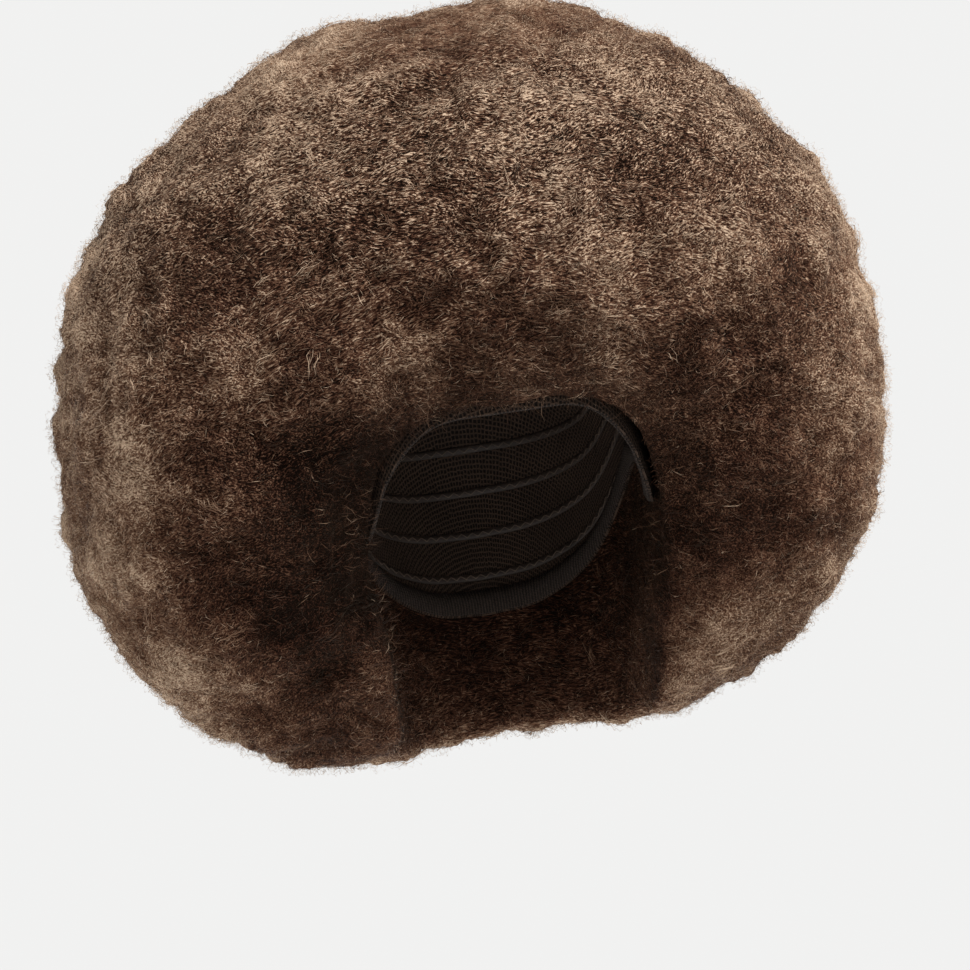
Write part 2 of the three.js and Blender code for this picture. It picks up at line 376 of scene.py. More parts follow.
def strand_place(nodes, place, patch_size, stretch):
    """Coordinates that run along the strands. Each patch has its own run, level but for its own tilt."""
    ragged = nodes.add("ShaderNodeTexNoise", Vector=place, Scale=2 / patch_size, Detail=2.0).outputs["Color"]
    shift = nodes.vector("SCALE", nodes.vector("SUBTRACT", ragged, (0.5, 0.5, 0.5)))
    shift.node.inputs["Scale"].default_value = 0.8 * patch_size
    moved = nodes.vector("ADD", place, shift)
    cells = nodes.add("ShaderNodeTexVoronoi", Vector=moved, Scale=1 / patch_size)
    own = nodes.add("ShaderNodeSeparateColor", Color=cells.outputs["Color"])
    local = nodes.vector("SUBTRACT", place, cells.outputs["Position"])
    out = nodes.vector("NORMALIZE", nodes.vector("SUBTRACT", place, tuple(HEAD_MIDDLE)))
    level = nodes.vector("NORMALIZE", nodes.vector("CROSS_PRODUCT", (0.0, 0.0, 1.0), out))
    rising = nodes.vector("CROSS_PRODUCT", out, level)
    tilt = nodes.spread(own.outputs[0], 0.0, 1.0, -0.55, 0.55)
    cosine = nodes.math("COSINE", tilt)
    sine = nodes.math("SINE", tilt)
    x = nodes.vector("DOT_PRODUCT", local, level)
    y = nodes.vector("DOT_PRODUCT", local, rising)
    along = nodes.math("ADD", nodes.math("MULTIPLY", x, cosine), nodes.math("MULTIPLY", y, sine))
    across = nodes.math("SUBTRACT", nodes.math("MULTIPLY", y, cosine), nodes.math("MULTIPLY", x, sine))
    depth = nodes.vector("DOT_PRODUCT", local, out)
    turned = nodes.combine(nodes.math("DIVIDE", along, stretch), across, depth)
    return nodes.vector("ADD", turned, cells.outputs["Color"])


def hair_shades(nodes, tone, hair):
    """The hair's colour for a tone from 0 to 1, in even steps of lightness to the eye. The tones hold painted
    light and shade as well as the hair's own tones.
    """
    shades = (hair.deep_colour, hair.dark_colour, hair.middle_colour, hair.light_colour, hair.glint_colour)
    return nodes.ramp(tone, [(step / 4, tuple(shade)) for step, shade in enumerate(shades)])


def hair_patches(nodes, place):
    """Sandy and dark patches that the mass and its fibres share."""
    wide = nodes.spread(nodes.noise(place, 50 * MM, 3.0), 0.3, 0.7, -0.16, 0.13)
    small = nodes.spread(nodes.noise(place, 10 * MM, 1.0), 0.3, 0.7, -0.08, 0.08)
    return nodes.math("ADD", wide, small)


def mass_material(settings, hair):
    """Hair seen between the fibres: fine strands that run level in patches, with painted shade in the
    creases.
    """
    nodes = Nodes("hair_mass")
    place = nodes.object_place()
    strands = strand_place(nodes, place, settings.patch_size, 4.5)
    fine = nodes.noise(strands, settings.strand_size, 2.0, 0.65)
    coarse = nodes.noise(strands, 3.0 * settings.strand_size, 1.0)
    streaks = nodes.spread(fine, 0.34, 0.66, -0.55, 0.50)
    streaks = nodes.math("ADD", streaks, nodes.spread(coarse, 0.3, 0.7, -0.14, 0.14))
    # The contrast attribute widens the streaks' spread on the upper part, as painted highlights.
    tone = nodes.math("MULTIPLY", streaks, nodes.attribute("contrast"))
    tone = nodes.math("ADD", tone, hair_patches(nodes, place))
    # The shade attribute adds the painted light and shade.
    tone = nodes.math("ADD", tone, nodes.attribute("shade"))
    height = nodes.math("ADD", fine, nodes.math("MULTIPLY", coarse, 0.8))
    return nodes.finish(
        Base_Color=hair_shades(nodes, tone, hair),
        Roughness=0.6,
        Specular_IOR_Level=0.03,
        Normal=nodes.bump(height, 1.8 * MM),
        Sheen_Weight=0.1,
        Sheen_Roughness=0.4,
        Sheen_Tint=(0.60, 0.38, 0.25, 1.0),
    )


def fibre_material(name, hair, roughness, specular, sheen=0.0):
    """Fibres: each has its own tone, which also holds painted light and shade, and a warm gloss. A sheen lets
    light round the finest.
    """
    nodes = Nodes(name)
    tone = nodes.math("ADD", nodes.attribute("tone"), hair_patches(nodes, nodes.object_place()))
    gloss = nodes.spread(tone, 0.2, 1.0, roughness + 0.10, roughness - 0.08)
    return nodes.finish(
        Base_Color=hair_shades(nodes, tone, hair),
        Roughness=gloss,
        Specular_IOR_Level=specular,
        Specular_Tint=(1.0, 0.74, 0.54, 1.0),
        Sheen_Weight=sheen,
        Sheen_Roughness=0.35,
        Sheen_Tint=(0.90, 0.66, 0.48, 1.0),
    )


def net_material(settings):
    """A knitted net: raised threads round small dark holes. The net is laid out flat from the crown."""
    nodes = Nodes("cap_net")
    place = nodes.object_place()
    out = nodes.vector("NORMALIZE", nodes.vector("SUBTRACT", place, tuple(HEAD_MIDDLE)))
    parts = nodes.add("ShaderNodeSeparateXYZ", Vector=out).outputs
    flat = nodes.vector("SCALE", nodes.vector("NORMALIZE", nodes.combine(parts[0], parts[1], 0.0)))
    nodes.feed(flat.node, "Scale", nodes.math("ARCCOSINE", parts[2]))
    cells = nodes.add(
        "ShaderNodeTexVoronoi",
        {"feature": "DISTANCE_TO_EDGE", "voronoi_dimensions": "2D"},
        Vector=flat,
        Scale=CAP_HIGH.x / settings.net_size,
        Randomness=0.35,
    )
    hole = nodes.spread(cells.outputs["Distance"], 0.10, 0.28)
    fibre = nodes.noise(place, 0.7 * MM, 2.0)
    cloud = nodes.noise(place, 30 * MM, 2.0)
    thread = tuple(settings.net_colour)
    pale = tuple(1.7 * c for c in thread)
    wear = nodes.math("ADD", nodes.math("MULTIPLY", fibre, 0.5), nodes.math("MULTIPLY", cloud, 0.5))
    worn = nodes.ramp(wear, [(0.35, thread), (0.65, pale)])
    mix = nodes.add("ShaderNodeMix", {"data_type": "RGBA"})
    nodes.feed(mix, "0", hole)
    nodes.tree.links.new(worn, mix.inputs[6])
    mix.inputs[7].default_value = (*settings.hole_colour, 1)
    height = nodes.math("ADD", nodes.math("MULTIPLY", hole, -1.0), nodes.math("MULTIPLY", fibre, 0.25))
    return nodes.finish(
        Base_Color=mix.outputs[2],
        Roughness=0.75,
        Specular_IOR_Level=0.2,
        Normal=nodes.bump(height, 0.7 * MM),
    )


def elastic_material(settings):
    """Woven elastic: fine upright ribs with a plain weave across them."""
    rib_count = 300.0
    weave_pitch = 0.9 * MM
    nodes = Nodes("elastic")
    place = nodes.object_place()
    parts = nodes.add("ShaderNodeSeparateXYZ", Vector=place)
    turn = nodes.math("ARCTAN2", parts.outputs[0], parts.outputs[1])
    ribs = nodes.math("SINE", nodes.math("MULTIPLY", turn, rib_count))
    weave = nodes.math("SINE", nodes.math("MULTIPLY", parts.outputs[2], 2 * math.pi / weave_pitch))
    height = nodes.math("ADD", ribs, nodes.math("MULTIPLY", weave, 0.5))
    fibre = nodes.noise(place, 0.8 * MM, 2.0)
    # Painted shade in the grooves and painted light on the ribs, from the same height as the bump.
    tone = nodes.math("ADD", nodes.math("MULTIPLY", height, 0.25), fibre)
    dark = tuple(settings.band_colour)
    shade = nodes.ramp(tone, [(0.25, tuple(0.5 * c for c in dark)), (0.85, tuple(2.4 * c for c in dark))])
    return nodes.finish(
        Base_Color=shade,
        Roughness=0.65,
        Specular_IOR_Level=0.25,
        Normal=nodes.bump(height, 0.25 * MM),
    )


def thread_material(name, base):
    """Sewing thread: a fine twist and a little unevenness."""
    nodes = Nodes(name)
    place = nodes.object_place()
    twist = nodes.noise(place, 0.5 * MM, 2.0)
    wide = nodes.noise(place, 12 * MM, 1.0)
    tone = nodes.math("ADD", nodes.math("MULTIPLY", twist, 0.6), nodes.math("MULTIPLY", wide, 0.4))
    shade = nodes.ramp(tone, [(0.3, tuple(0.55 * c for c in base)), (0.7, tuple(1.5 * c for c in base))])
    return nodes.finish(Base_Color=shade, Roughness=0.55, Normal=nodes.bump(twist, 0.2 * MM))


# The mass of hair


def cloud_texture(name, size, kind="CLOUDS"):
    texture = bpy.data.textures.new(name, kind)
    texture.noise_scale = size
    return texture


def hair_shade(points, near_cap, lean, rise):
    """How light the hair is, as painted light and shade: painted shade in creases, round the face, by the
    left cheek and inside; painted light on tufts, crown, sides and bottom. Darker across the front, lighter
    at the hairline.
    """
    low, high = CAD_LOW.z, CAD_HIGH.z
    across = np.abs(points[:, 0]) / CAD_HIGH.x
    # Painted light on the crown, where the main light falls from above.
    crown = smooth_step(low + 0.45 * (high - low), high, points[:, 2])
    ahead = smooth_step(0.25 * CAD_HIGH.y, CAD_LOW.y, points[:, 1])
    # Painted shade round the face opening.
    painted_face_shade = (1 - smooth_step(10 * MM, 100 * MM, near_cap)) * ahead * smooth_step(0.22, 0.42, across)
    # A painted shadow on the hair left of the face opening, where a head would cast one.
    painted_cheek_shadow = (1 - smooth_step(0.36, 0.84, across)) * (points[:, 0] < 0)
    painted_cheek_shadow *= smooth_step(0.25 * CAD_HIGH.y, 0.3 * CAD_LOW.y, points[:, 1])
    painted_cheek_shadow *= smooth_step(0.2 * CAP_LOW.z, 0.45 * CAP_LOW.z, points[:, 2])
    height = points[:, 2] / high
    # Darker across the front, above the face opening.
    brow = (1 - smooth_step(0.3, 0.8, across)) * ahead
    brow *= smooth_step(0.05, 0.25, height) - smooth_step(0.65, 0.9, height)
    hairline = (1 - smooth_step(8 * MM, 40 * MM, near_cap)) * ahead
    hairline *= 1 - smooth_step(0.1 * CAP_LOW.z, 0.4 * CAP_LOW.z, points[:, 2])
    # Painted shade on the hair's inner faces.
    inside = 1 - smooth_step(-0.5, 0.6, lean)
    inside *= smooth_step(0.1 * CAP_LOW.z, 0.5 * CAP_LOW.z, points[:, 2])
    # Painted light at the sides and the bottom, where light comes through the thin hair of the rim.
    sides = smooth_step(0.65, 1.0, across)
    bottom = 1 - smooth_step(low, low + 0.3 * (high - low), points[:, 2])
    # Painted light on the tufts, the crown, the sides and the bottom, painted shade in the creases, and
    # lighter at the hairline.
    light = 0.47 + 0.25 * crown + 0.32 * sides + 0.27 * bottom + 0.12 * hairline + 0.5 * (rise - 0.5)
    # Painted shade round the face, by the left cheek, across the front and inside.
    dark = 0.16 * painted_face_shade + 0.36 * painted_cheek_shadow + 0.12 * brow + 0.36 * inside
    return np.clip(light - dark, -0.2, 1)


def hair_contrast(points, shade):
    """How much the strands differ in lightness: most on the upper part, where the wide spread is a painted
    highlight of the main light's glints, and in dark places; least on top, at the sides and the bottom.
    """
    height = points[:, 2] / CAD_HIGH.z
    across = np.abs(points[:, 0]) / CAD_HIGH.x
    upper = 1 - smooth_step(0.0, 0.55, np.abs(height - 0.45))
    upper *= 1 - 0.4 * smooth_step(0.2, 0.7, across)
    top = smooth_step(0.6, 0.9, height)
    outer = smooth_step(0.7, 1.0, across)
    lower = smooth_step(0.1 * CAD_LOW.z, 0.7 * CAD_LOW.z, points[:, 2])
    evenness = 0.42 * top + 0.28 * outer + 0.22 * lower
    return (0.75 + 0.49 * upper - evenness) * (1 + 1.4 * np.maximum(0.4 - shade, 0))


def paler(shade, amount):
    """An amount that fades out where the hair is darkest: the painted light that fibres add to their colour.
    """
    return amount * smooth_step(0.05, 0.4, shade)


def clear_of_face(points):
    """Shifts that hold the hair beside the face back from it, where its tufts would narrow the opening."""
    across = np.abs(points[:, 0])
    share = 1 - smooth_step(0.9 * CAP_HIGH.x, 1.5 * CAP_HIGH.x, across)
    share *= smooth_step(0.15 * CAP_LOW.z, 0.4 * CAP_LOW.z, points[:, 2])
    share *= smooth_step(0.2 * CAP_LOW.y, 0.6 * CAP_LOW.y, points[:, 1])
    shifts = np.zeros_like(points)
    shifts[:, 0] = 6 * MM * share * np.sign(points[:, 0])
    return shifts


def make_mass(settings, hair):
    """The solid mass: its facets are rounded, then tufts, waves and small curls are raised on it."""
    piece = copy_of_node("hair", "hair_mass")
    apply_modifier(piece, "REMESH", mode="VOXEL", voxel_size=settings.mesh_size)
    apply_modifier(piece, "SMOOTH", factor=0.5, iterations=10)
    points = column(piece.data.vertices, "co")
    normals = column(piece.data.vertices, "normal")
    near_cap = distances_to(tree_of_node("stretch_cap"), points)
    outward = unit(points - np.array(HEAD_MIDDLE))
    lean = np.sum(outward * normals, axis=1)
    facing = smooth_step(-0.1, 0.35, lean)
    loose = smooth_step(5 * MM, 30 * MM, near_cap) * (0.3 + 0.7 * facing)
    write_group(piece, "loose", loose)
    apply_modifier(piece, "DISPLACE", strength=settings.rise, mid_level=0.0, vertex_group="loose")
    before = column(piece.data.vertices, "co")
    tufts = cloud_texture("tufts", settings.tuft_size, "VORONOI")
    layers = (
        (tufts, -settings.tuft_depth, 0.45),
        (cloud_texture("waves", settings.wave_size), settings.wave_depth, 0.5),
        (cloud_texture("clumps", settings.clump_size), settings.clump_depth, 0.5),
        (cloud_texture("curls", settings.curl_size), settings.curl_depth, 0.5),
    )
    for texture, strength, middle in layers:
        apply_modifier(
            piece,
            "DISPLACE",
            texture=texture,
            texture_coords="LOCAL",
            strength=strength,
            mid_level=middle,
            vertex_group="loose",
        )
    after = column(piece.data.vertices, "co")
    raised = np.sum((after - before) * normals, axis=1)
    span = settings.tuft_depth + settings.wave_depth + settings.clump_depth
    rise = 0.5 + raised / span
    after += clear_of_face(after)
    piece.data.vertices.foreach_set("co", after.astype(np.float32).ravel())
    piece.data.update()
    write_attribute(piece.data, "rise", rise)
    shade = hair_shade(after, near_cap, lean, rise)
    write_attribute(piece.data, "shade", shade)
    write_attribute(piece.data, "contrast", hair_contrast(after, shade))
    write_attribute(piece.data, "open", np.maximum(smooth_step(4 * MM, 8 * MM, near_cap), facing))
    piece.data.materials.append(mass_material(settings, hair))
    piece.data.shade_smooth()
    finish_piece(piece, "hair", "hair")


# Fibres


class Surface:
    """The mass's faces, from which places for fibres are drawn."""

    def __init__(self):
        mesh = bpy.data.objects["hair_mass"].data
        mesh.calc_loop_triangles()
        corners = np.empty(len(mesh.loop_triangles) * 3, np.int32)
        mesh.loop_triangles.foreach_get("vertices", corners)
        self.corners = corners.reshape(-1, 3)
        self.points = column(mesh.vertices, "co")
        self.normals = column(mesh.vertices, "normal")
        self.shade = read_attribute(mesh, "shade")
        self.open = read_attribute(mesh, "open")
        self.peaks = smooth_step(0.35, 0.75, read_attribute(mesh, "rise")[self.corners].mean(axis=1))
        self.pale = 0.12 + paler(self.shade[self.corners].mean(axis=1), 0.88)
        first, second, third = (self.points[self.corners[:, i]] for i in range(3))
        self.areas = 0.5 * np.linalg.norm(np.cross(second - first, third - first), axis=1)
        self.middles = (first + second + third) / 3

    def draw(self, random, count, chance=1.0):
        """Random places on the open faces: points, normals and the painted light and shade there."""
        weights = self.areas * self.open[self.corners].mean(axis=1) * chance
        chosen = random.choice(len(weights), size=count, p=weights / weights.sum())
        shares = random.dirichlet((1.0, 1.0, 1.0), size=count)[:, :, None]
        corners = self.corners[chosen]
        points = (self.points[corners] * shares).sum(axis=1)
        normals = unit((self.normals[corners] * shares).sum(axis=1))
        shade = (self.shade[corners] * shares[:, :, 0]).sum(axis=1)
        return points, normals, shade


def level_directions(random, points, normals, wander):
    """A direction along the surface for each point: mostly level, and shared by near neighbours."""
    fibres_to_a_seed = 25
    loner_share = 0.1
    seeds = random.choice(len(points), size=max(len(points) // fibres_to_a_seed, 1), replace=False)
    tree = KDTree(len(seeds))
    for index, place in enumerate(points[seeds].tolist()):
        tree.insert(place, index)
    tree.balance()
    shared = random.normal(0.0, math.radians(24), len(seeds))
    nearest = [tree.find(place)[1] for place in points.tolist()]
    angles = shared[nearest] + random.normal(0.0, math.radians(wander), len(points))
    loners = random.random(len(points)) < loner_share
    angles[loners] = random.uniform(0, math.pi, loners.sum())
    angles += math.pi * (random.random(len(points)) < 0.5)
    level = unit(np.cross(UP, normals) + 1e-4)
    across = np.cross(normals, level)
    return level * np.cos(angles)[:, None] + across * np.sin(angles)[:, None]


def fibre_mesh(name, lines, thickness, tones, material):
    """Closed fibres of three sides with pointed ends: lines holds each one's points from end to end."""
    count, steps, _ = lines.shape
    inner = steps - 2
    root_darkness = 0.12
    side, other = cross_directions(unit(lines[:, -1] - lines[:, 0]))
    swell = np.sin(np.linspace(0, math.pi, steps)[1:-1]) ** 0.5
    rings = []
    for corner in range(3):
        turn = 2 * math.pi * corner / 3
        out = side * math.cos(turn) + other * math.sin(turn)
        rings.append(lines[:, 1:-1] + out[:, None] * (thickness[:, None] / 2 * swell)[:, :, None])
    rings = np.stack(rings, axis=2).reshape(count, inner * 3, 3)
    points = np.concatenate([lines[:, :1], rings, lines[:, -1:]], axis=1)
    last = inner * 3 + 1
    faces = []
    for corner in range(3):
        following = (corner + 1) % 3
        faces.append((0, 1 + following, 1 + corner))
        faces.append((last, last - 3 + corner, last - 3 + following))
        for ring in range(inner - 1):
            a = 1 + 3 * ring + corner
            b = 1 + 3 * ring + following
            faces.append((a, b, b + 3))
            faces.append((a, b + 3, a + 3))
    offsets = np.arange(count)[:, None, None] * (last + 1)
    every = (np.array(faces)[None] + offsets).reshape(-1, 3)
    piece = new_mesh_piece(name, points.reshape(-1, 3), every, material)
    shares = np.concatenate([[0], np.repeat(np.linspace(0, 1, steps)[1:-1], 3), [1]])
    write_attribute(piece.data, "tone", (tones[:, None] - root_darkness * (1 - shares[None])).ravel())
    return piece


def lying_lines(random, points, normals, along, half, lift, floating):
    """Short fibres along the surface, each bent up in the middle. Floating ones have raised ends too."""
    count = len(points)
    aside = np.cross(normals, along)
    height = lift * random.uniform(0.3, 1.0, count)
    tilt = random.normal(0, 0.16, count)
    bend = random.normal(0, 0.10, count)
    foot = points + normals * (floating * height)[:, None]
    reach = along * half[:, None] + normals * (tilt * half)[:, None]
    middle = points + normals * height[:, None] + aside * (bend * half)[:, None]
    return np.stack([foot - reach, middle, foot + reach], axis=1)


def make_frizz(name, seed, count, settings, surface, lift, painted_light, scale, specular):
    """Short bent fibres that lie along the tufts. Some are longer and thinner, and a painted glint makes them
    lighter.
    """
    random = np.random.default_rng(seed)
    points, normals, shade = surface.draw(random, count)
    along = level_directions(random, points, normals, 14)
    # A share of fibres painted light as glints, more so where the painted shade is deep.
    painted_glint_share = 0.12
    bright = random.random(count) < painted_glint_share
    half = 0.5 * scale * settings.frizz_length * random.uniform(0.55, 1.45, count)
    half[bright] *= 1.5
    lines = lying_lines(random, points, normals, along, half, lift, 0.0)
    thickness = settings.thickness * random.uniform(0.65, 1.2, count)
    thickness[bright] *= 0.75
    own = random.normal(0, 0.23, count) + (0.42 + 0.3 * np.maximum(0.4 - shade, 0)) * bright
    # The tone holds the painted light and shade, the layer's painted light and each fibre's own tone.
    tones = shade + paler(shade, painted_light) + own * hair_contrast(points, shade)
    material = fibre_material(name, settings, 0.36, specular)
    finish_piece(fibre_mesh(name, lines, thickness, tones, material), "hair")


def make_haze(settings, surface):
    """The finest loops, which float off the mass on all sides and make its rim soft and pale: partly as
    fibres seen edge-on, partly by painted light in their colour.
    """
    random = np.random.default_rng(53)
    count = settings.haze_count
    points, normals, shade = surface.draw(random, count, (0.4 + surface.peaks) * surface.pale)
    along = level_directions(random, points, normals, 50)
    half = 0.45 * settings.frizz_length * random.uniform(0.6, 1.4, count)
    lines = lying_lines(random, points, normals, along, half, settings.haze_lift, 0.6)
    thickness = 0.42 * settings.thickness * random.uniform(0.7, 1.2, count)
    # Painted light: the loops are coloured paler than the mass beneath.
    tones = shade + paler(shade, 0.42) + random.normal(0, 0.13, count)
    material = fibre_material("hair_haze", settings, 0.45, 0.25, 0.3)
    finish_piece(fibre_mesh("hair_haze", lines, thickness, tones, material), "hair")


def make_curls(settings, surface):
    """Longer curved fibres in small bundles that snake along the tufts and stand off them in low loops."""
    random = np.random.default_rng(31)
    count = settings.curl_count
    bundles = max(count // 4, 1)
    points, normals, shade = surface.draw(random, bundles)
    along = level_directions(random, points, normals, 20)
    lightness = random.normal(0, 0.24, bundles)
    bundle = random.integers(0, bundles, count)
    normals = normals[bundle]
    aside = np.cross(normals, along[bundle])
    along = unit(along[bundle] + aside * random.normal(0, 0.16, count)[:, None])
    points = points[bundle] + aside * random.normal(0, 1.3 * MM, count)[:, None]
    points += along * random.normal(0, 2.5 * MM, count)[:, None]
    whole = settings.curl_length * random.uniform(0.5, 1.3, count)
    steps = np.linspace(-0.5, 0.5, 4)
    arch = 1 - (2 * steps) ** 2
    snake = np.sin(2 * math.pi * steps)
    height = random.uniform(0.5, 2.2, count) * MM
    sway = random.uniform(0.2, 1.0, count) * MM * random.choice((-1, 1), count)
    bow = random.normal(0, 0.8, count) * MM
    tilt = random.normal(0, 0.14, count)
    lines = (
        points[:, None]
        + along[:, None] * (whole[:, None] * steps)[:, :, None]
        + normals[:, None] * (height[:, None] * arch + (tilt * whole)[:, None] * steps)[:, :, None]
        + aside[:, None] * (sway[:, None] * snake + bow[:, None] * arch)[:, :, None]
    )
    thickness = 0.85 * settings.thickness * random.uniform(0.7, 1.2, count)
    shade = shade[bundle]
    own = lightness[bundle] + random.normal(0, 0.12, count)
    # A painted highlight makes the curls a little paler than the mass, on top of each bundle's own tone.
    tones = shade + paler(shade, 0.18) + own * hair_contrast(points, shade)
    material = fibre_material("hair_curls", settings, 0.32, 0.5)
    finish_piece(fibre_mesh("hair_curls", lines, thickness, tones, material), "hair")


def standing_lines(random, points, directions, lengths, curl):
    """Fibres that stand up from their roots in a loose helix that opens towards the tip."""
    side, other = cross_directions(directions)
    count = len(points)
    share = np.linspace(0, 1, 4)
    turn = random.uniform(0, 2 * math.pi, count)[:, None] + share * random.uniform(2.5, 5.5, count)[:, None]
    radius = (curl * random.uniform(0.5, 1.5, count))[:, None] * share
    return (
        points[:, None]
        + directions[:, None] * (lengths[:, None] * share)[:, :, None]
        + side[:, None] * (radius * np.cos(turn))[:, :, None]
        + other[:, None] * (radius * np.sin(turn))[:, :, None]
    )


def make_fuzz(settings, surface):
    """Fine bent fibres that stand proud of the mass, more of them on its peaks."""
    random = np.random.default_rng(47)
    count = settings.fuzz_count
    points, normals, shade = surface.draw(random, count, (0.25 + surface.peaks) * surface.pale)
    lean = unit(random.normal(0, 1, (count, 3)))
    directions = unit(normals + lean * random.uniform(0.4, 1.6, count)[:, None])
    lengths = settings.fuzz_length * random.uniform(0.35, 1.2, count)
    bend = unit(random.normal(0, 1, (count, 3))) * (0.16 * lengths)[:, None]
    root = points - normals * 0.6 * MM
    middle = root + directions * (0.55 * lengths)[:, None] + bend
    lines = np.stack([root, middle, root + directions * lengths[:, None]], axis=1)
    thickness = 0.5 * settings.thickness * random.uniform(0.7, 1.2, count)
    # Painted light: the fuzz is coloured paler than the mass beneath.
    tones = shade + paler(shade, 0.30) + random.normal(0, 0.13, count)
    material = fibre_material("hair_fuzz", settings, 0.45, 0.25, 0.25)
    finish_piece(fibre_mesh("hair_fuzz", lines, thickness, tones, material), "hair")


def make_wisps(settings, surface):
    """Thin curled fibres all along the edge of the face opening, which reach a little way into it."""
    random = np.random.default_rng(59)
    middles = surface.middles
    normals = surface.normals[surface.corners].mean(axis=1)
    around = middles - np.array(HEAD_MIDDLE)
    around[:, 1] = 0
    inward = -np.sum(normals * unit(around), axis=1)
    chance = smooth_step(0.0, 0.5, inward)
    chance *= smooth_step(0.1 * CAP_LOW.y, 0.6 * CAP_LOW.y, middles[:, 1])
    chance *= 1 - smooth_step(CAP_HIGH.x, 1.5 * CAP_HIGH.x, np.abs(middles[:, 0]))
    chance *= 0.3 + 0.7 * smooth_step(0.5 * CAP_LOW.z, 0.0, middles[:, 2])
    points, normals, _ = surface.draw(random, settings.wisp_count, chance + 1e-9)
    count = len(points)
    to_head = unit(np.array(HEAD_MIDDLE) - points)
    ahead = np.array([0.0, -1.0, 0.0])
    directions = unit(0.35 * to_head + 0.8 * ahead + 0.6 * normals + random.normal(0, 0.4, (count, 3)))
    lengths = settings.wisp_length * random.uniform(0.4, 1.2, count)
    lines = standing_lines(random, points - normals * 0.5 * MM, directions, lengths, 1.8 * MM)
    thickness = 0.6 * settings.thickness * random.uniform(0.7, 1.2, count)
    tones = 0.48 + random.normal(0, 0.18, count)
    material = fibre_material("hairline_wisps", settings, 0.4, 0.4)
    finish_piece(fibre_mesh("hairline_wisps", lines, thickness, tones, material), "hair")


# The cap and its band


def head_direction(turn, polar):
    """A direction from the head's middle: a turn from straight ahead, and an angle down from the top."""
    level = math.sin(polar)
    return Vector((level * math.sin(turn), -level * math.cos(turn), math.cos(polar)))


def rim_angle(tree, turn):
    """The angle down from the top at which a node's wall ends, found by halving."""
    high = math.radians(35)
    low = math.radians(170)
    for _ in range(12):
        middle = (high + low) / 2
        if tree.ray_cast(HEAD_MIDDLE, head_direction(turn, middle))[0] is None:
            low = middle
        else:
            high = middle
    return high


def inner_wall(tree, turn, polar, inset):
    """A point on the inner face of a node's wall, moved in by an inset."""
    direction = head_direction(turn, polar)
    hit = tree.ray_cast(HEAD_MIDDLE, direction)[0]
    return hit - direction * inset


def band_angles(tree, turn, rim):
    """The angles down from the top between which the band is seen from the head's middle."""
    steps = [rim - math.radians(0.25) * step for step in range(-4, 60)]
    seen = [angle for angle in steps if tree.ray_cast(HEAD_MIDDLE, head_direction(turn, angle))[0]]
    return min(seen), max(seen)


def ring_faces(rings, sides):
    """The faces of a bar that closes on itself, with its sections numbered one after another."""
    faces = []
    for ring in range(rings):
        for side in range(sides):
            a = ring * sides + side
            b = ring * sides + (side + 1) % sides
            c = (ring + 1) % rings * sides + (side + 1) % sides
            d = (ring + 1) % rings * sides + side
            faces.append((a, b, c, d))
    return faces


def join_bars(name, bars, material):
    """One object from several closed bars, each a list of points and a list of faces."""
    points = []
    faces = []
    for bar_points, bar_faces in bars:
        first = len(points)
        points += bar_points
        faces += [tuple(first + corner for corner in face) for face in bar_faces]
    piece = new_mesh_piece(name, points, faces, material)
    edit_whole(piece, bpy.ops.mesh.normals_make_consistent, inside=False)
    return piece


def finer_copy(node, name, cuts, material):
    """A copy of a frame node whose wall is made finer and round."""
    piece = copy_of_node(node, name)
    edit_whole(piece, bpy.ops.mesh.subdivide, number_cuts=cuts, smoothness=1.0)
    bpy.ops.object.shade_smooth_by_angle(angle=math.radians(50))
    piece.data.materials.append(material)
    return piece


def make_cap(settings):
    """The net cap."""
    piece = finer_copy("stretch_cap", "cap_net", 1, net_material(settings))
    finish_piece(piece, "cap_net", "stretch_cap")


def make_rows(settings):
    """Sewn rows that hold the hair to the net: each is a flat tape with a zigzag of thread along it."""
    tree = tree_of_node("stretch_cap")
    columns = 192
    turns = [2 * math.pi * i / columns for i in range(columns)]
    rims = [rim_angle(tree, turn) for turn in turns]
    radius = settings.stitch_thickness / 2
    sunk = -0.15 * MM
    tape_section = ((-1.0, sunk), (-0.8, settings.row_height), (0.8, settings.row_height), (1.0, sunk))
    tapes = []
    threads = []
    for row in range(settings.row_count):
        share = (row + 0.8) / (settings.row_count + 0.6)
        tape = []
        thread = []
        for index, turn in enumerate(turns):
            polar = rims[index] * share
            away = (inner_wall(tree, turn, polar, 0.0) - HEAD_MIDDLE).length
            half = settings.row_width / 2 / away
            if index % 2 == 0:
                for side, inset in tape_section:
                    tape.append(inner_wall(tree, turn, polar + side * half, inset))
            swing = 0.5 * half if index % 2 else -0.5 * half
            for side, lift in ((-1, 0), (0, 1), (1, 0), (0, -1)):
                level = settings.row_height + 0.4 * radius + lift * radius
                thread.append(inner_wall(tree, turn, polar + swing + side * radius / away, level))
        tapes.append((tape, ring_faces(columns // 2, 4)))
        threads.append((thread, ring_faces(columns, 4)))
    tape_finish = thread_material("cap_tapes", tuple(settings.tape_colour))
    finish_piece(join_bars("cap_tapes", tapes, tape_finish), "cap_net")
    thread_finish = thread_material("cap_threads", tuple(settings.thread_colour))
    finish_piece(join_bars("cap_threads", threads, thread_finish), "cap_net")


def make_band(settings):
    """The elastic band."""
    piece = finer_copy("edge_band", "elastic_band", 2, elastic_material(settings))
    finish_piece(piece, "elastic", "edge_band")


